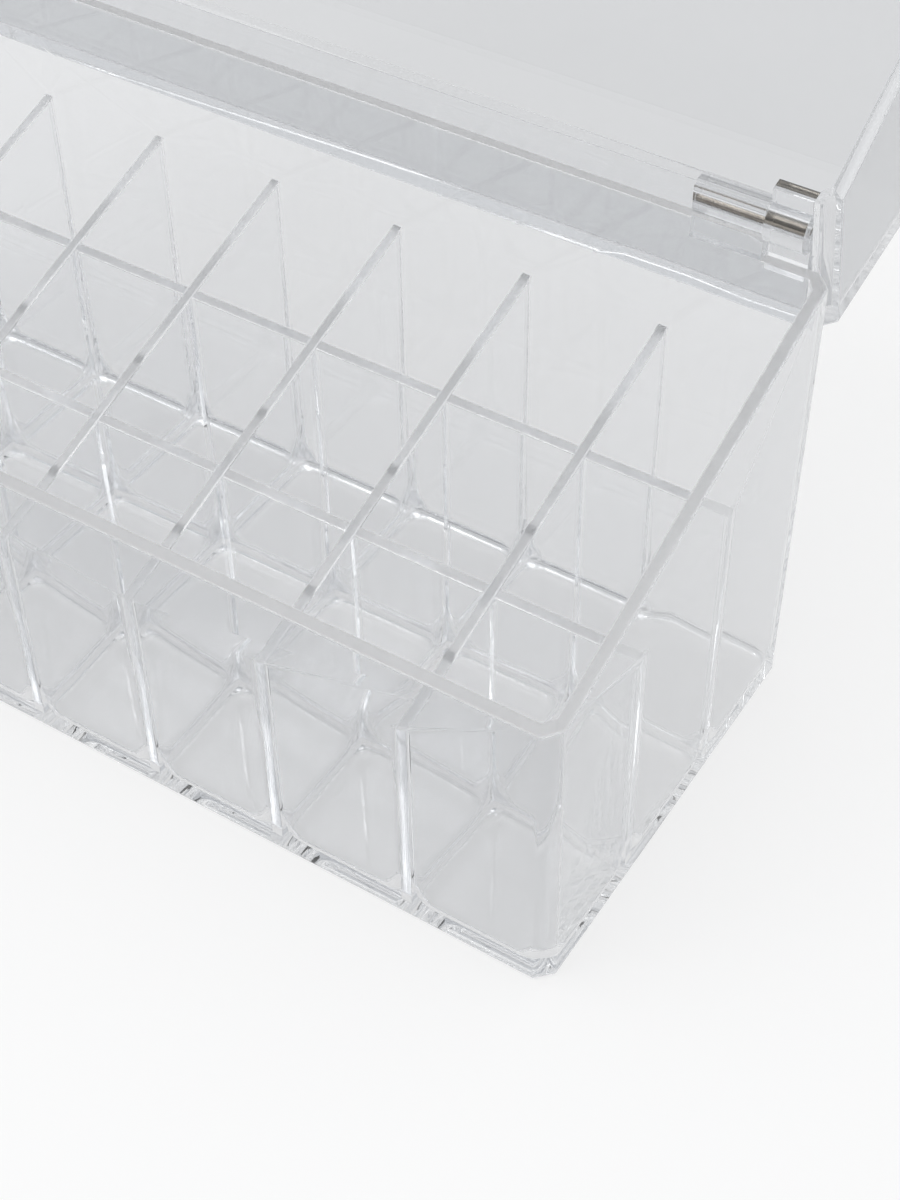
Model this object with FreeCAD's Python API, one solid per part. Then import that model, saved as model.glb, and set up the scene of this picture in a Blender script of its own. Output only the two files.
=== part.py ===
import FreeCAD, Part
import math
import os

# Clear lipstick organizer: an open tray with slotted dividers and a hinged dust lid.
# Millimetres. Origin on the table at the centre of the tray's footprint.
# +X runs to the right, +Y to the rear and +Z up. The lid stands open, as it does at rest.

os.makedirs("parts", exist_ok=True)

# Compartments
columns = 8                     # compartments from left to right
cell_width = 25.0               # clear width of one compartment
front_row_depth = 24.8          # clear depth of the front compartments
middle_row_depth = 26.2         # clear depth of the middle compartments
rear_row_depth = 26.2           # clear depth of the rear compartments
divider_thickness = 2.0
divider_front_height = 46.4     # height of the divider tops in the plane of the front face
divider_angle = 16.2            # rise of the divider tops towards the rear, degrees
divider_edge_round = 0.35       # rounding of the top edges of the dividers
half_lap_clearance = 0.05       # play on each side of the crossing slots
track_lip = 0.8                 # height of the lips that hold each divider's end on the wall
pan_radius = 2.5                # cove between the floor of a compartment and its walls

# Tray
wall = 2.4                      # thickness of the upright walls
floor_thickness = 2.5
front_height = 62.2             # height of the front wall
rim_angle = 18.7                # rise of the side rims towards the rear, degrees
crest_rise = 3.8                # rear wall above the seats in its corners
corner_chamfer = 2.8            # facets on the outer upright corners
inner_corner_chamfer = 1.6      # facets on the inner upright corners
base_round = 1.0                # rounding of the tray's bottom edge
rim_round = 0.4                 # rounding of the edges of the rims

# Lid, in its closed place
closed_height = 120.0           # top of the closed lid above the table
lid_wall = 2.4
lid_plate = 2.4                 # thickness of the flat top
lid_gap = 0.3                   # gap between the closed lid and the tray's rims
lid_end_inset = 1.1             # how far each end of the lid lies inside the tray's end
lid_top_round = 1.0             # rounding of the edge around the flat top
lid_cove = 1.5                  # cove between the flat top and the skirts

# Hinges
open_angle = 168.5              # swing of the lid from closed to its stop, degrees
pin_radius = 1.1
pin_above_crest = 3.1           # pin axis above the rear wall, in the plane of its rear face
knuckle_radius = 3.7            # barrels around the pins
hinge_end_margin = 5.0          # plain corner outside each lid knuckle
lid_knuckle_length = 7.0
tray_knuckle_length = 12.8
knuckle_gap = 0.2               # play between neighbouring knuckles
window_clearance = 0.6          # play between the tray's barrels and the lid's windows
knuckle_corner = 1.2            # cut corner on the front of the tray's knuckles
heel_depth = 2.2                # how far the stop heel reaches below its corner seat
stop_gap = 0.05                 # play between the heels and the rear wall at the stop
pin_running_clearance = 0.05    # radial play of the pins in the lid's knuckles
pin_seat_clearance = 0.02       # radial play of the pins in the tray's knuckles
pin_end_setback = 0.4           # pin end inside the outer face of the lid's knuckle
pin_bevel = 0.2

# Bond line between pieces that are joined face to face
seam = 0.03

# Sizes that follow from the ones above
pitch = cell_width + divider_thickness
length = columns * cell_width + (columns - 1) * divider_thickness + 2 * wall
row_depths = (front_row_depth, middle_row_depth, rear_row_depth)
depth = sum(row_depths) + (len(row_depths) - 1) * divider_thickness + 2 * wall
right = length / 2
front = -depth / 2
rear = depth / 2
inner_front = front + wall
inner_rear = rear - wall
inner_right = right - wall
rim_slope = math.tan(math.radians(rim_angle))
divider_slope = math.tan(math.radians(divider_angle))
beyond = 20.0                   # reach of cutting shapes past the material


def rim_height(y):
    return front_height + rim_slope * (y - front)


def divider_height(y):
    return divider_front_height + divider_slope * (y - front)


seat_height = rim_height(inner_rear)
crest_height = seat_height + crest_rise
pin_y = rear
pin_z = crest_height + pin_above_crest
lid_knuckle_outer = right - hinge_end_margin
lid_knuckle_inner = lid_knuckle_outer - lid_knuckle_length
tray_knuckle_outer = lid_knuckle_inner - knuckle_gap
tray_knuckle_inner = tray_knuckle_outer - tray_knuckle_length
seat_inner = tray_knuckle_inner - seam      # inner end of the seats cut into the rear wall
divider_xs = [-inner_right + cell_width + divider_thickness / 2 + pitch * i for i in range(columns - 1)]
divider_ys = [
    inner_front + front_row_depth + divider_thickness / 2,
    inner_rear - rear_row_depth - divider_thickness / 2,
]
row_fronts = [inner_front, divider_ys[0] + divider_thickness / 2, divider_ys[1] + divider_thickness / 2]


def point(x, y, z):
    return FreeCAD.Vector(x, y, z)


def box(x0, x1, y0, y1, z0, z1):
    return Part.makeBox(x1 - x0, y1 - y0, z1 - z0, point(x0, y0, z0))


def upright_prism(outline, z0, z1):
    """Solid between two heights over an outline of (x, y) corners."""
    corners = [point(x, y, z0) for x, y in outline]
    face = Part.Face(Part.makePolygon(corners + corners[:1]))
    return face.extrude(point(0, 0, z1 - z0))


def side_prism(profile, x0, x1):
    """Solid between two places along X with a profile of (y, z) corners."""
    corners = [point(x0, y, z) for y, z in profile]
    face = Part.Face(Part.makePolygon(corners + corners[:1]))
    return face.extrude(point(x1 - x0, 0, 0))


def rod(x0, x1, radius):
    """Round bar on the hinge axis."""
    return Part.makeCylinder(radius, x1 - x0, point(x0, pin_y, pin_z), point(1, 0, 0))


def chamfered_rectangle(half_length, y0, y1, chamfer):
    return [
        (-half_length + chamfer, y0),
        (half_length - chamfer, y0),
        (half_length, y0 + chamfer),
        (half_length, y1 - chamfer),
        (half_length - chamfer, y1),
        (-half_length + chamfer, y1),
        (-half_length, y1 - chamfer),
        (-half_length, y0 + chamfer),
    ]


def level_edges(shape, z):
    """Edges that lie at one height."""
    return [edge for edge in shape.Edges if all(near(v.Z, z) for v in edge.Vertexes)]


def near(a, b):
    return abs(a - b) < 1e-6


def rim_edges(shell):
    """Sharp edges along the tops of the walls, without those at the feet of the corner seats."""
    found = []
    for edge in shell.Edges:
        ends = [v.Point for v in edge.Vertexes]
        on_rim = all(near(p.z, rim_height(p.y)) for p in ends)
        on_seat = all(near(p.z, seat_height) for p in ends)
        on_crest = all(near(p.z, crest_height) for p in ends)
        at_foot = on_seat and all(near(p.y, inner_rear) or near(abs(p.x), seat_inner) for p in ends)
        if (on_rim or on_seat or on_crest) and not at_foot:
            found.append(edge)
    return found


def both_sides(shape):
    """A shape and its mirror image at the other end of the box."""
    return [shape, shape.mirror(point(0, 0, 0), point(1, 0, 0))]


def single(shape):
    return shape.removeSplitter().Solids[0]


def track_points(centre, along):
    """Wall outline past one divider's end: a lip, the slot and the other lip.

    centre is the divider's place along the wall, and along is +1 or -1 for the way the wall is followed.
    Each point is (place along the wall, height above the wall).
    """
    half = divider_thickness / 2 + seam
    foot = half + track_lip
    steps = [(-foot, 0), (-half, track_lip), (-half, 0), (half, 0), (half, track_lip), (foot, 0)]
    return [(centre + along * s, h) for s, h in steps]


def slotted_interior():
    """Outline of the space between the walls, with a track for every divider's end."""
    c = inner_corner_chamfer
    outline = [(-inner_right + c, inner_front)]
    for x in divider_xs:
        outline += [(s, inner_front + h) for s, h in track_points(x, 1)]
    outline += [(inner_right - c, inner_front), (inner_right, inner_front + c)]
    for y in divider_ys:
        outline += [(inner_right - h, s) for s, h in track_points(y, 1)]
    outline += [(inner_right, inner_rear - c), (inner_right - c, inner_rear)]
    for x in reversed(divider_xs):
        outline += [(s, inner_rear - h) for s, h in track_points(x, -1)]
    outline += [(-inner_right + c, inner_rear), (-inner_right, inner_rear - c)]
    for y in reversed(divider_ys):
        outline += [(-inner_right + h, s) for s, h in track_points(y, -1)]
    outline += [(-inner_right, inner_front + c)]
    return outline


def pans():
    """The coved floors of the compartments, as the spaces they leave."""
    spaces = []
    ridge_top = floor_thickness + pan_radius
    for column in range(columns):
        x0 = -inner_right + column * pitch
        for y0, row_depth in zip(row_fronts, row_depths):
            pan = box(x0, x0 + cell_width, y0, y0 + row_depth, floor_thickness, ridge_top + pan_radius)
            pan = pan.makeFillet(pan_radius, level_edges(pan, floor_thickness))
            spaces.append(pan.common(box(x0, x0 + cell_width, y0, y0 + row_depth, floor_thickness, ridge_top)))
    return spaces


def tray_shell():
    block = upright_prism(chamfered_rectangle(right, front, rear, corner_chamfer), 0, crest_height)
    block = block.makeFillet(base_round, level_edges(block, 0))
    over_rims = side_prism(
        [
            (front - beyond, rim_height(front - beyond)),
            (inner_rear, seat_height),
            (inner_rear, crest_height + beyond),
            (front - beyond, crest_height + beyond),
        ],
        -right - beyond,
        right + beyond,
    )
    over_seat = box(seat_inner, right + beyond, inner_rear - wall, rear + beyond,
                    seat_height, crest_height + beyond)
    block = block.cut([over_rims] + both_sides(over_seat))
    ridge_top = floor_thickness + pan_radius
    plain = chamfered_rectangle(inner_right, inner_front, inner_rear, inner_corner_chamfer)
    over_dividers = side_prism(
        [
            (front - beyond, divider_height(front - beyond)),
            (rear + beyond, divider_height(rear + beyond)),
            (rear + beyond, crest_height + beyond),
            (front - beyond, crest_height + beyond),
        ],
        -right - beyond,
        right + beyond,
    )
    hollow = upright_prism(plain, ridge_top, crest_height + beyond)
    upper = hollow.common(over_dividers)
    lower = upright_prism(slotted_interior(), ridge_top, crest_height + beyond).cut(over_dividers)
    corner_guard = upright_prism(plain, 0, crest_height)
    floors = [pan.common(corner_guard) for pan in pans()]
    half = divider_thickness / 2 + seam
    grooves = [box(x - half, x + half, inner_front, inner_rear, floor_thickness, ridge_top) for x in divider_xs]
    grooves += [box(-inner_right, inner_right, y - half, y + half, floor_thickness, ridge_top) for y in divider_ys]
    shell = block.cut([upper, lower])
    shell = shell.cut(floors)
    shell = single(shell.cut(grooves))
    return shell.makeFillet(rim_round, rim_edges(shell)).Solids[0]


def lap_height(y):
    """Height at which a cross divider and a long divider meet in their crossing slots."""
    return floor_thickness + (divider_height(y) - floor_thickness) / 2


def cross_divider(x):
    """Strip from front to rear, slotted from below over the long dividers."""
    y0 = inner_front + seam
    y1 = inner_rear - seam
    z0 = floor_thickness + seam
    half = divider_thickness / 2
    profile = [(y0, z0), (y1, z0), (y1, divider_height(y1)), (y0, divider_height(y0))]
    strip = side_prism(profile, x - half, x + half)
    top_edges = [e for e in strip.Edges if e.Length > (y1 - y0) * 1.001]
    strip = strip.makeFillet(divider_edge_round, top_edges)
    slot_half = half + half_lap_clearance
    slots = [
        box(x - divider_thickness, x + divider_thickness, y - slot_half, y + slot_half, 0, lap_height(y) + seam)
        for y in divider_ys
    ]
    return single(strip.cut(slots))


def long_divider(y):
    """Strip from end to end, slotted from above under the cross dividers."""
    half = divider_thickness / 2
    z0 = floor_thickness + seam
    strip = side_prism(
        [
            (y - half, z0),
            (y + half, z0),
            (y + half, divider_height(y + half)),
            (y - half, divider_height(y - half)),
        ],
        -inner_right + seam,
        inner_right - seam,
    )
    top_edges = [e for e in strip.Edges if e.Length > inner_right and e.CenterOfMass.z > lap_height(y)]
    strip = strip.makeFillet(divider_edge_round, top_edges)
    slot_half = half + half_lap_clearance
    slots = [
        box(x - slot_half, x + slot_half, y - divider_thickness, y + divider_thickness,
            lap_height(y), crest_height)
        for x in divider_xs
    ]
    return single(strip.cut(slots))


def tray_knuckle():
    """Barrel on a block that stands on the seat in the rear wall, at the right-hand end."""
    x0 = tray_knuckle_inner
    x1 = tray_knuckle_outer
    top = pin_z + knuckle_radius
    foot = side_prism(
        [
            (inner_rear, seat_height + seam),
            (rear, seat_height + seam),
            (rear, top),
            (inner_rear + knuckle_corner, top),
            (inner_rear, top - knuckle_corner),
        ],
        x0,
        x1,
    )
    room = box(x0, x1, inner_rear, rear + beyond, seat_height + seam, top + beyond)
    barrel = rod(x0, x1, knuckle_radius).common(room)
    return single(barrel.fuse(foot).cut(rod(x0 - 1, x1 + 1, pin_radius + pin_seat_clearance)))


def closed_place(y, z):
    """Closed place of a point of the lid that is given where it lies at the open stop."""
    swing = math.radians(open_angle)
    dy = y - pin_y
    dz = z - pin_z
    closed_y = pin_y + dy * math.cos(swing) - dz * math.sin(swing)
    closed_z = pin_z + dy * math.sin(swing) + dz * math.cos(swing)
    return (closed_y, closed_z)


heel_tip = closed_place(rear + stop_gap, seat_height - heel_depth)
heel_root = closed_place(rear + stop_gap, pin_z)
heel_top = heel_tip[1]


def lid_knuckle():
    """Barrel, neck and stop heel at the lid's right-hand end, in the closed place."""
    x0 = lid_knuckle_inner
    x1 = lid_knuckle_outer
    neck = side_prism(
        [
            (inner_rear, seat_height + lid_gap),
            (rear, seat_height + lid_gap),
            heel_root,
            heel_tip,
            (inner_rear, heel_top),
        ],
        x0,
        x1,
    )
    room = box(x0, x1, inner_rear, rear + beyond, 0, closed_height)
    barrel = rod(x0, x1, knuckle_radius).common(room)
    return single(barrel.fuse(neck).cut(rod(x0 - 1, x1 + 1, pin_radius + pin_running_clearance)))


def lid_shell():
    """Flat top and four skirts, cut out along the rear for the hinges, in the closed place."""
    lid_right = right - lid_end_inset
    low = front_height - beyond
    block = upright_prism(chamfered_rectangle(lid_right, front, rear, corner_chamfer), low, closed_height)
    block = block.makeFillet(lid_top_round, level_edges(block, closed_height))
    hollow = upright_prism(
        chamfered_rectangle(lid_right - lid_wall, front + lid_wall, rear - lid_wall, inner_corner_chamfer),
        low - beyond,
        closed_height - lid_plate,
    )
    hollow = hollow.makeFillet(lid_cove, level_edges(hollow, closed_height - lid_plate))
    under_rims = side_prism(
        [
            (front - beyond, 0),
            (rear + beyond, 0),
            (rear + beyond, seat_height + lid_gap),
            (inner_rear, seat_height + lid_gap),
            (front - beyond, rim_height(front - beyond) + lid_gap),
        ],
        -right - beyond,
        right + beyond,
    )
    plain_half = tray_knuckle_inner - knuckle_gap
    behind = (rear - lid_wall - 1, rear + beyond)
    over_crest = box(-plain_half, plain_half, behind[0], behind[1], 0, crest_height + lid_gap)
    window = box(plain_half, lid_knuckle_inner - seam, behind[0], behind[1],
                 0, pin_z + knuckle_radius + window_clearance)
    knuckle_slot = box(lid_knuckle_inner - seam, lid_knuckle_outer + seam, behind[0], behind[1],
                       0, heel_top + seam)
    openings = both_sides(window) + both_sides(knuckle_slot)
    return single(block.cut([hollow, under_rims, over_crest]).cut(openings))


def hinge_pin():
    """Plain steel pin, pushed in from the inner end."""
    pin = rod(tray_knuckle_inner, lid_knuckle_outer - pin_end_setback, pin_radius)
    ends = [e for e in pin.Edges if len(e.Vertexes) == 1]
    return pin.makeChamfer(pin_bevel, ends)


def opened(shape):
    """A piece of the lid, swung from its closed place to the open stop."""
    swung = shape.copy()
    swung.rotate(point(0, pin_y, pin_z), point(1, 0, 0), -open_angle)
    return swung


pieces = {"tray_shell": tray_shell()}
for number, x in enumerate(divider_xs, 1):
    pieces["cross_divider_%d" % number] = cross_divider(x)
pieces["long_divider_front"] = long_divider(divider_ys[0])
pieces["long_divider_rear"] = long_divider(divider_ys[1])
pieces["tray_knuckle_right"], pieces["tray_knuckle_left"] = both_sides(tray_knuckle())
pieces["hinge_pin_right"], pieces["hinge_pin_left"] = both_sides(hinge_pin())
pieces["lid_shell"] = opened(lid_shell())
pieces["lid_knuckle_right"], pieces["lid_knuckle_left"] = both_sides(opened(lid_knuckle()))

for name, shape in pieces.items():
    shape.exportStep("parts/%s.step" % name)
    print(name, "valid" if shape.isValid() else "NOT VALID", "volume", round(shape.Volume, 1))
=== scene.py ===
import math

import bmesh
import bpy
from mathutils import Matrix, Vector


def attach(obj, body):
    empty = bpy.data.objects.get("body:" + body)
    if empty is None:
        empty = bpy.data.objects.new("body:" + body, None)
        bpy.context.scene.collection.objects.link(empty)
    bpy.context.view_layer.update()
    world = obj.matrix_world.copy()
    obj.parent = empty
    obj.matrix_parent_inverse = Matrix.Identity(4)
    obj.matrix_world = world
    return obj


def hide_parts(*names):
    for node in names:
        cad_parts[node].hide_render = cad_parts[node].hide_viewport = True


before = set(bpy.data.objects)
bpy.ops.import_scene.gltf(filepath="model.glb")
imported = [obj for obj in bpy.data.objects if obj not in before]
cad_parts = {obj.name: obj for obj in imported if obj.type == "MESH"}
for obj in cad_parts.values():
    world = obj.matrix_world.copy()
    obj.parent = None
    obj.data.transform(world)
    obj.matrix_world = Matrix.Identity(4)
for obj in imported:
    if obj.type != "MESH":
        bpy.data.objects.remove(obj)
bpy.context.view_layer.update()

# Lengths are in metres and angles in degrees, except for the cells' flares, whose sizes are in millimetres.
# The pieces are shaded as they lie in the frame, with the lid open.

# The photograph's camera; its lens and sensor are in millimetres
camera_place = Vector((0.20313, -0.21499, 0.29620))
camera_azimuth = 33.025
camera_elevation = 46.116
camera_roll = -0.85
camera_lens = 63.116
camera_sensor_width = 36.0
camera_clip_start = 0.01

# Clear acrylic: a duller and a clearer tint for each part, and one for its sawn rims. The tray and lid are
# tinted darker than the dividers as painted shade, though all are one acrylic, and the lid's rear skirt keeps
# a clear tint. The rim tints are painted shade on the tray and dividers and painted light on the lid
acrylic_index = 1.49
tray_tints_with_painted_shade = ((0.830, 0.836, 0.846, 1), (0.850, 0.856, 0.865, 1))
tray_rim_painted_shade = (0.52, 0.525, 0.533, 1)
divider_tints = ((0.975, 0.978, 0.982, 1), (0.985, 0.987, 0.990, 1))
divider_rim_painted_shade = (0.62, 0.625, 0.633, 1)
lid_tints_with_painted_shade = ((0.715, 0.722, 0.734, 1), (0.735, 0.742, 0.753, 1))
lid_rim_painted_light = (0.75, 0.760, 0.775, 1)
rear_skirt_tint = (0.970, 0.973, 0.978, 1)

# Its surface: haze in patches, waves left by the mould, hairline scratches, and satin on the rims
haze_scale = 38.0
haze_patches = (0.45, 0.75)
haze_roughness = (0.0, 0.02)
wave_scale = 22.0
wave_strength = 0.01
wave_depth = 0.001
scratch_stretch = (90.0, 420.0, 900.0)
scratch_turn = (0.3, 0.5, 0.2)
scratch_strength = 0.001
scratch_depth = 0.0001
satin_roughness = 0.2

# Which faces are rims: those within a cone about an axis (given by its cosines) and above a height
tray_rim_axis = (0, -0.16, 0.987)
lid_rim_axis = (0, -0.503, 0.864)
rim_cone = (0.955, 0.98)
rims_above = 0.02

# Which faces are the lid's rear skirt: those across an axis and in front of a place
rear_skirt_axis = (0, 0.98, 0.199)
rear_skirt_cone = 0.9
rear_skirt_end = 0.06

# Painted glint in the coves, made by turning them partly metallic: the parts of the normal and the places
# between which it fades in, and its strength
cove_above_upright = (0.35, 0.6)
cove_below_level = (0.90, 0.78)
cove_to_front = (-0.25, -0.5)
coves_below = 0.0128
rear_row_start = (0.0135, 0.0145)
front_and_rear_glint = (0.12, 0.45)

# Ground steel of the pins: both shades are darkened as a painted reflection of dark surroundings, and differ
# in random duller patches
steel_patches_and_painted_reflection = ((0.22, 0.19, 0.16, 1), (0.46, 0.42, 0.36, 1))
steel_roughness = (0.14, 0.34)
steel_patch_scale = 260.0
ring_stretch = (3000.0, 200.0, 200.0)
ring_strength = 0.15
ring_depth = 0.0001

# Studio floor, just under the tray
floor_half_width = 6.0
floor_drop = 0.0001
floor_shades = ((0.19, 0.19, 0.19, 1), (0.21, 0.21, 0.21, 1))
floor_mottle_scale = 3.0
floor_glow = 0.74

# Pale room: its brightness from the horizon up, and from the front back
room_colour = (0.97, 0.985, 1.0, 1)
room_rise = (0.0, 0.55)
room_rise_levels = (0.66, 0.94)
room_front = (-0.95, -0.45)
room_front_levels = (0.45, 1.0)


def node(tree, kind, **settings):
    """Adds a shader node with its properties; keys that start with in_ set its sockets or link them."""
    made = tree.nodes.new(kind)
    for key, value in settings.items():
        if not key.startswith("in_"):
            setattr(made, key, value)
            continue
        name = key[len("in_"):]
        socket = made.inputs[int(name)] if name.isdigit() else made.inputs[name.replace("_", " ")]
        if isinstance(value, bpy.types.NodeSocket):
            tree.links.new(value, socket)
        else:
            socket.default_value = value
    return made


def calculate(tree, operation, *terms):
    inputs = {f"in_{index}": term for index, term in enumerate(terms)}
    return node(tree, "ShaderNodeMath", operation=operation, **inputs).outputs["Value"]


def ramp(tree, source, limits, levels=(0.0, 1.0)):
    """Goes from one level to the other between two limits of its source."""
    made = node(tree, "ShaderNodeMapRange", in_Value=source, in_From_Min=limits[0], in_From_Max=limits[1],
                in_To_Min=levels[0], in_To_Max=levels[1])
    return made.outputs["Result"]


def noise(tree, place, scale, detail, **settings):
    made = node(tree, "ShaderNodeTexNoise", in_Vector=place, in_Scale=scale, in_Detail=detail, **settings)
    return made.outputs["Fac"]


def stretched(tree, place, scale, turn=(0.0, 0.0, 0.0)):
    made = node(tree, "ShaderNodeMapping", in_Vector=place, in_Scale=scale, in_Rotation=turn)
    return made.outputs["Vector"]


def mixed(tree, factor, first, second):
    made = node(tree, "ShaderNodeMixRGB", in_Fac=factor, in_Color1=first, in_Color2=second)
    return made.outputs["Color"]


def bump(tree, height, strength, depth, **settings):
    made = node(tree, "ShaderNodeBump", in_Height=height, in_Strength=strength, in_Distance=depth, **settings)
    return made.outputs["Normal"]


def apart(tree, vector):
    return node(tree, "ShaderNodeSeparateXYZ", in_Vector=vector).outputs


def along(tree, normal, axis):
    """Cosine of the angle between the normal and an axis."""
    made = node(tree, "ShaderNodeVectorMath", operation="DOT_PRODUCT", in_0=normal, in_1=axis)
    return made.outputs["Value"]


def new_material(name):
    """An empty material, with its nodes for the place on the piece and the normal there."""
    material = bpy.data.materials.new(name)
    material.use_nodes = True
    tree = material.node_tree
    tree.nodes.clear()
    coordinates = node(tree, "ShaderNodeTexCoord")
    return material, tree, coordinates.outputs["Object"], coordinates.outputs["Normal"]


def painted_cove_glint(tree, normal, place):
    """Painted glint, as a metallic share, where the floor's coves and flares rise to the walls behind, most
    in the rear row.
    """
    normal_parts = apart(tree, normal)
    place_parts = apart(tree, place)
    painted_glint = ramp(tree, place_parts["Y"], rear_row_start, front_and_rear_glint)
    for mask in (ramp(tree, normal_parts["Z"], cove_above_upright),
                 ramp(tree, normal_parts["Z"], cove_below_level),
                 ramp(tree, normal_parts["Y"], cove_to_front),
                 calculate(tree, "LESS_THAN", place_parts["Z"], coves_below)):
        painted_glint = calculate(tree, "MULTIPLY", painted_glint, mask)
    return painted_glint


def rear_skirt(tree, normal, place):
    """1 on the broad faces of the lid's rear skirt, 0 elsewhere."""
    either_way = calculate(tree, "ABSOLUTE", along(tree, normal, rear_skirt_axis))
    broad = calculate(tree, "GREATER_THAN", either_way, rear_skirt_cone)
    near_hinge = calculate(tree, "LESS_THAN", apart(tree, place)["Y"], rear_skirt_end)
    return calculate(tree, "MULTIPLY", broad, near_hinge)


def clear_acrylic(name, tints, rim_tint, rim_axis, skirt_tint=None, paints_cove_glint=False):
    """Clear acrylic: polished faces with faint haze and hairline scratches, and satin sawn rims. The rims'
    own tint is painted shade on the tray and dividers and painted light on the lid; the tray's and lid's
    tints carry painted shade, and the tray's coves can take a painted glint made with a metallic share.
    """
    material, tree, place, normal = new_material(name)
    haze = noise(tree, place, haze_scale, detail=4.0, in_Roughness=0.6)
    # The part's tint: on the tray and lid it is darkened as painted shade
    colour = mixed(tree, haze, *tints)
    if skirt_tint:
        # The lid's rear skirt keeps a clear tint, without the lid's painted shade
        colour = mixed(tree, rear_skirt(tree, normal, place), colour, skirt_tint)
    turned_up = ramp(tree, along(tree, normal, rim_axis), rim_cone)
    high_up = calculate(tree, "GREATER_THAN", apart(tree, place)["Z"], rims_above)
    on_rim = calculate(tree, "MULTIPLY", turned_up, high_up)
    # Painted shade on the rims of the tray and dividers, painted light on the lid's: the rims take their own
    # tint
    colour = mixed(tree, on_rim, colour, rim_tint)
    hazy = ramp(tree, haze, haze_patches, haze_roughness)
    roughness = calculate(tree, "MULTIPLY_ADD", on_rim, satin_roughness, hazy)
    waves = bump(tree, noise(tree, place, wave_scale, detail=1.0), wave_strength, wave_depth)
    scratches = noise(tree, stretched(tree, place, scratch_stretch, scratch_turn), scale=1.0, detail=3.0)
    relief = bump(tree, scratches, scratch_strength, scratch_depth, in_Normal=waves)
    # Painted glint: the coves are made partly metallic so that they show a bright line
    painted_glint = painted_cove_glint(tree, normal, place) if paints_cove_glint else 0.0
    surface = node(tree, "ShaderNodeBsdfPrincipled", in_IOR=acrylic_index, in_Transmission_Weight=1.0,
                   in_Base_Color=colour, in_Metallic=painted_glint, in_Roughness=roughness, in_Normal=relief)
    node(tree, "ShaderNodeOutputMaterial", in_Surface=surface.outputs["BSDF"])
    return material


def ground_steel():
    """Plain ground steel rod with faint rings and a few duller patches; its colour is darkened all over as a
    painted reflection of dark surroundings.
    """
    material, tree, place, _ = new_material("ground_steel")
    rings = noise(tree, stretched(tree, place, ring_stretch), scale=1.0, detail=3.0)
    # Painted reflection: both shades are darkened to stand in for dark surroundings seen in the pins; between
    # them lie random duller patches
    colour = mixed(tree, noise(tree, place, steel_patch_scale, detail=3.0), *steel_patches_and_painted_reflection)
    roughness = ramp(tree, rings, (0.0, 1.0), steel_roughness)
    surface = node(tree, "ShaderNodeBsdfPrincipled", in_Metallic=1.0, in_Base_Color=colour,
                   in_Roughness=roughness, in_Normal=bump(tree, rings, ring_strength, ring_depth))
    node(tree, "ShaderNodeOutputMaterial", in_Surface=surface.outputs["BSDF"])
    return material


def pale_floor():
    """Matt white studio surface with barely visible mottling."""
    material, tree, place, _ = new_material("studio_floor")
    colour = mixed(tree, noise(tree, place, floor_mottle_scale, detail=2.0), *floor_shades)
    surface = node(tree, "ShaderNodeBsdfDiffuse", in_Color=colour)
    glow = node(tree, "ShaderNodeEmission", in_Strength=floor_glow)
    both = node(tree, "ShaderNodeAddShader", in_0=surface.outputs["BSDF"], in_1=glow.outputs["Emission"])
    node(tree, "ShaderNodeOutputMaterial", in_Surface=both.outputs["Shader"])
    material.cycles.emission_sampling = "NONE"
    return material


# The tray's and lid's tints carry painted shade. The rims' tints are painted shade on the tray and dividers
# and painted light on the lid. The tray's coves carry a painted glint
tray_acrylic = clear_acrylic("tray_acrylic", tray_tints_with_painted_shade, tray_rim_painted_shade, tray_rim_axis, paints_cove_glint=True)
divider_acrylic = clear_acrylic("divider_acrylic", divider_tints, divider_rim_painted_shade, tray_rim_axis)
lid_acrylic = clear_acrylic("lid_acrylic", lid_tints_with_painted_shade, lid_rim_painted_light, lid_rim_axis, rear_skirt_tint)
steel = ground_steel()
for name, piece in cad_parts.items():
    if name.startswith("hinge_pin"):
        wanted = steel
    elif name.startswith("lid"):
        wanted = lid_acrylic
    elif "divider" in name:
        wanted = divider_acrylic
    else:
        wanted = tray_acrylic
    for index in range(len(piece.data.materials)):
        piece.data.materials[index] = wanted

# The cells' flares, in millimetres: the tray keeps its form and gains moulded flares in the cells' corners
mm = 0.001
inner_x = 107.0
inner_y = 40.6
columns = 8
pitch = 27.0
half_divider = 1.0
divider_ys = (-14.8, 13.4)
floor_top = 2.5
cove = 2.5
corner_radius = 4.2
flare_top = 13.0
flare_tip_radius = 0.08
flare_root = 0.3        # how deep a flare starts in the floor
into_wall = 0.6         # how deep it reaches into a wall
groove_gap = 0.035      # how far it stays off the groove that holds a divider
cove_steps = 6
rise_steps = 7
corner_steps = 8
quarter_turn = 90

# Meshes
weld_distance = 1e-7
flat_within = 0.5
tray_sharp_angle = 32
lid_sharp_angle = 35
shortest_eased_edge = 0.014
least_eased_angle = 30
edge_round = 0.0006
edge_round_steps = 3


def flare_levels():
    """Heights of a flare's outlines, with each one's inset from the walls and its corner radius."""
    levels = [(floor_top - flare_root, cove, corner_radius)]
    for step in range(cove_steps + 1):
        angle = math.radians(quarter_turn * step / cove_steps)
        levels.append((floor_top + cove * (1 - math.cos(angle)), cove * (1 - math.sin(angle)), corner_radius))
    rise = flare_top - floor_top - cove
    for step in range(1, rise_steps + 1):
        left = 1 - step / rise_steps
        radius = flare_tip_radius + (corner_radius - flare_tip_radius) * left ** 2
        levels.append((floor_top + cove + rise * step / rise_steps, 0.0, radius))
    return levels


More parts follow.
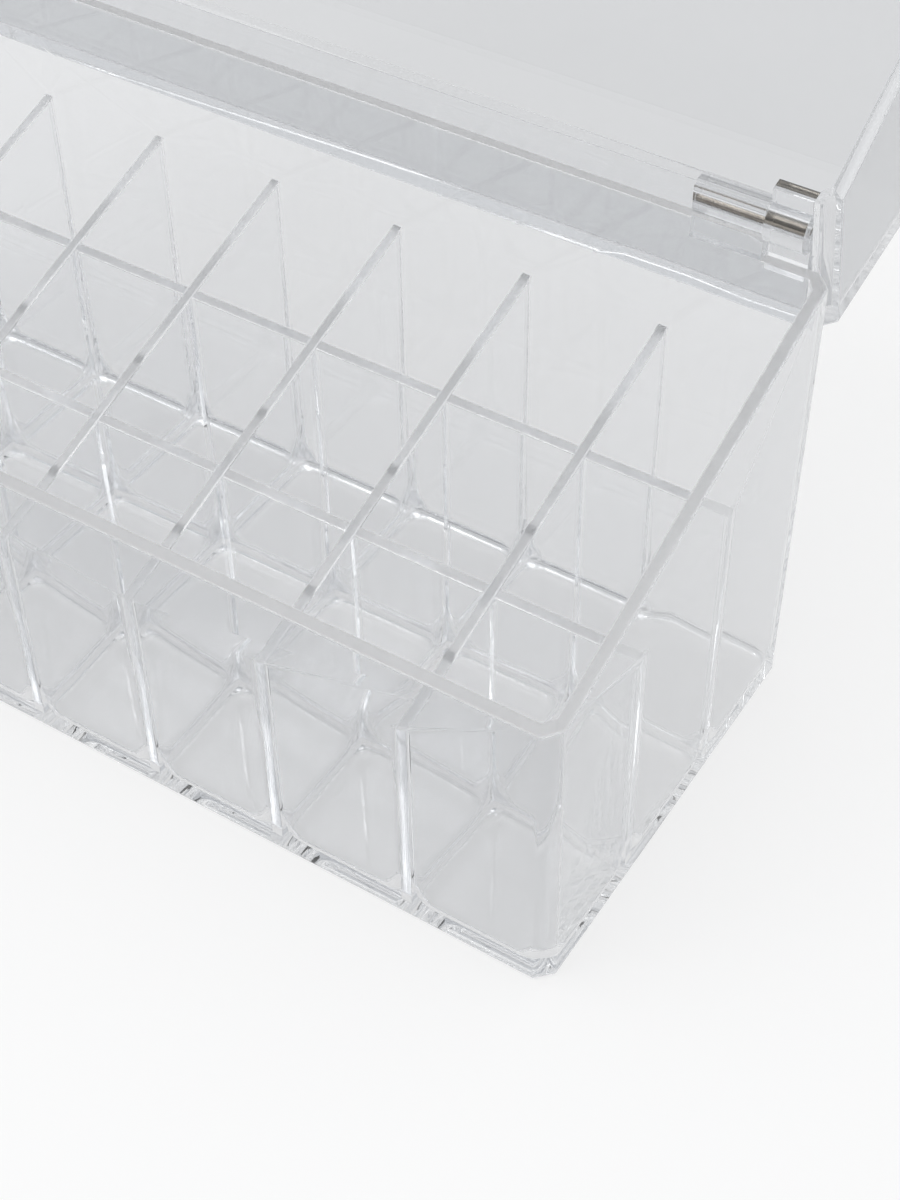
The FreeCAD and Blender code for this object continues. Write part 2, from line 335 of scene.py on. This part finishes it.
def add_flare(shape, x, y, toward_x, toward_y, start_x, start_y):
    """One closed flare in the corner at x, y of a cell that lies toward the given sides."""
    rings = []
    for z, inset, radius in flare_levels():
        reach = radius - inset
        outline = [(start_x, start_y), (radius, start_y)]
        for step in range(corner_steps + 1):
            angle = math.radians(quarter_turn * step / corner_steps)
            outline.append((radius - reach * math.sin(angle), radius - reach * math.cos(angle)))
        outline.append((start_x, radius))
        if toward_x * toward_y < 0:
            outline.reverse()
        rings.append([shape.verts.new(((x + toward_x * u) * mm, (y + toward_y * v) * mm, z * mm))
                      for u, v in outline])
    count = len(rings[0])
    for low, high in zip(rings, rings[1:]):
        for i in range(count):
            j = (i + 1) % count
            shape.faces.new((low[i], low[j], high[j], high[i]))
    shape.faces.new(list(reversed(rings[0])))
    shape.faces.new(rings[-1])


def all_flares():
    """A flare in each corner of each cell; at the outer walls it reaches into the wall."""
    shape = bmesh.new()
    front, rear = divider_ys
    rows = [(-inner_y, front - half_divider), (front + half_divider, rear - half_divider),
            (rear + half_divider, inner_y)]
    for column in range(columns):
        left = -inner_x + pitch * column
        right = left + pitch - 2 * half_divider
        for row, (near, far) in enumerate(rows):
            for x, toward_x, at_wall_x in ((left, 1, column == 0), (right, -1, column == columns - 1)):
                for y, toward_y, at_wall_y in ((near, 1, row == 0), (far, -1, row == len(rows) - 1)):
                    add_flare(shape, x, y, toward_x, toward_y,
                              -into_wall if at_wall_x else groove_gap,
                              -into_wall if at_wall_y else groove_gap)
    return as_mesh(shape, "corner_flares")


def as_mesh(shape, name):
    mesh = bpy.data.meshes.new(name)
    shape.to_mesh(mesh)
    shape.free()
    return mesh


def welded(piece):
    """A copy of a CAD node's mesh whose faces share their corners."""
    shape = bmesh.new()
    shape.from_mesh(piece.data)
    bmesh.ops.remove_doubles(shape, verts=shape.verts, dist=weld_distance)
    return shape


def new_object(name, data):
    made = bpy.data.objects.new(name, data)
    bpy.context.scene.collection.objects.link(made)
    return made


def evaluated_mesh(made):
    bpy.context.view_layer.update()
    graph = bpy.context.evaluated_depsgraph_get()
    return bpy.data.meshes.new_from_object(made.evaluated_get(graph), depsgraph=graph)


def smooth(made, sharp_angle):
    """Shades an object smooth up to an angle, with normals that follow its large faces."""
    made.data.shade_smooth()
    made.data.set_sharp_from_angle(angle=math.radians(sharp_angle))
    made.modifiers.new("weigh", "WEIGHTED_NORMAL").keep_sharp = True


def moulded_tray():
    """The tray joined with its cells' flares."""
    flares = new_object("corner_flares", all_flares())
    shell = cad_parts["tray_shell"]
    base = new_object("tray_base", as_mesh(welded(shell), shell.name + "_closed"))
    join = base.modifiers.new("join", "BOOLEAN")
    join.operation = "UNION"
    join.solver = "MANIFOLD"
    join.object = flares
    mesh = evaluated_mesh(base)
    bpy.data.objects.remove(flares)
    base.modifiers.clear()
    base.data = mesh
    smooth(base, tray_sharp_angle)
    final = evaluated_mesh(base)
    bpy.data.objects.remove(base)
    final.materials.clear()
    final.materials.append(tray_acrylic)
    tray = new_object("moulded_tray", final)
    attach(tray, "tray")
    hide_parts("tray_shell")


def eased_lid():
    """The lid with its long edges slightly rounded, as they leave the mould."""
    shape = welded(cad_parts["lid_shell"])
    bmesh.ops.dissolve_limit(shape, angle_limit=math.radians(flat_within),
                             verts=shape.verts, edges=shape.edges)
    long_edges = [edge for edge in shape.edges
                  if edge.calc_length() > shortest_eased_edge
                  and edge.calc_face_angle(0) > math.radians(least_eased_angle)]
    bmesh.ops.bevel(shape, geom=long_edges, offset=edge_round, offset_type="OFFSET",
                    segments=edge_round_steps, profile=0.5, affect="EDGES", clamp_overlap=True)
    bmesh.ops.triangulate(shape, faces=shape.faces)
    lid = new_object("eased_lid", as_mesh(shape, "eased_lid"))
    smooth(lid, lid_sharp_angle)
    lid.data.materials.append(lid_acrylic)
    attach(lid, "lid")
    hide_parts("lid_shell")


moulded_tray()
eased_lid()

floor_mesh = bpy.data.meshes.new("floor")
floor_corners = [(x * floor_half_width, y * floor_half_width, 0)
                 for x, y in ((-1, -1), (1, -1), (1, 1), (-1, 1))]
floor_mesh.from_pydata(floor_corners, [], [(0, 1, 2, 3)])
floor = new_object("floor", floor_mesh)
floor.location = (0, 0, -floor_drop)
floor.data.materials.append(pale_floor())


def pale_room():
    """A world that is dimmer at the horizon and towards the front."""
    world = bpy.data.worlds.new("room")
    bpy.context.scene.world = world
    world.use_nodes = True
    tree = world.node_tree
    direction = apart(tree, node(tree, "ShaderNodeTexCoord").outputs["Generated"])
    rise = ramp(tree, direction["Z"], room_rise, room_rise_levels)
    front = ramp(tree, direction["Y"], room_front, room_front_levels)
    background = tree.nodes["Background"]
    background.inputs["Color"].default_value = room_colour
    tree.links.new(calculate(tree, "MULTIPLY", rise, front), background.inputs["Strength"])


def soft_box(name, place, aim, width, depth, power):
    light = bpy.data.lights.new(name, "AREA")
    light.shape = "RECTANGLE"
    light.size = width
    light.size_y = depth
    light.energy = power
    made = new_object(name, light)
    made.location = place
    made.rotation_euler = (Vector(aim) - Vector(place)).to_track_quat("-Z", "Y").to_euler()


pale_room()
soft_box("overhead", place=(-0.5, -0.5, 1.8), aim=(-0.5, -0.5, 0), width=1.6, depth=1.4, power=12.0)
soft_box("front", place=(-0.605, -0.762, 1.269), aim=(0, 0, 0), width=0.3, depth=0.3, power=0.9)
soft_box("side", place=(0.9, -0.6, 1.1), aim=(0, 0, 0.05), width=0.35, depth=0.35, power=1.2)


def photograph_camera():
    """The camera, turned to the photograph's direction and then rolled about it."""
    azimuth = math.radians(camera_azimuth)
    elevation = math.radians(camera_elevation)
    roll = math.radians(camera_roll)
    ahead = Vector((-math.sin(azimuth) * math.cos(elevation), math.cos(azimuth) * math.cos(elevation),
                    -math.sin(elevation)))
    level = Vector((math.cos(azimuth), math.sin(azimuth), 0))
    upward = level.cross(ahead)
    side = math.cos(roll) * level + math.sin(roll) * upward
    top = -math.sin(roll) * level + math.cos(roll) * upward
    data = bpy.data.cameras.new("camera")
    data.lens = camera_lens
    data.sensor_width = camera_sensor_width
    data.clip_start = camera_clip_start
    camera = new_object("camera", data)
    turn = Matrix((side, top, -ahead)).transposed()
    camera.matrix_world = Matrix.Translation(camera_place) @ turn.to_4x4()
    return camera


scene = bpy.context.scene
scene.camera = photograph_camera()
scene.view_settings.view_transform = "Standard"
scene.view_settings.look = "None"

# Light has to pass many walls of clear acrylic before it reaches the room
scene.cycles.max_bounces = 256
scene.cycles.transmission_bounces = 256
scene.cycles.glossy_bounces = 256
scene.cycles.diffuse_bounces = 3
scene.cycles.transparent_max_bounces = 16
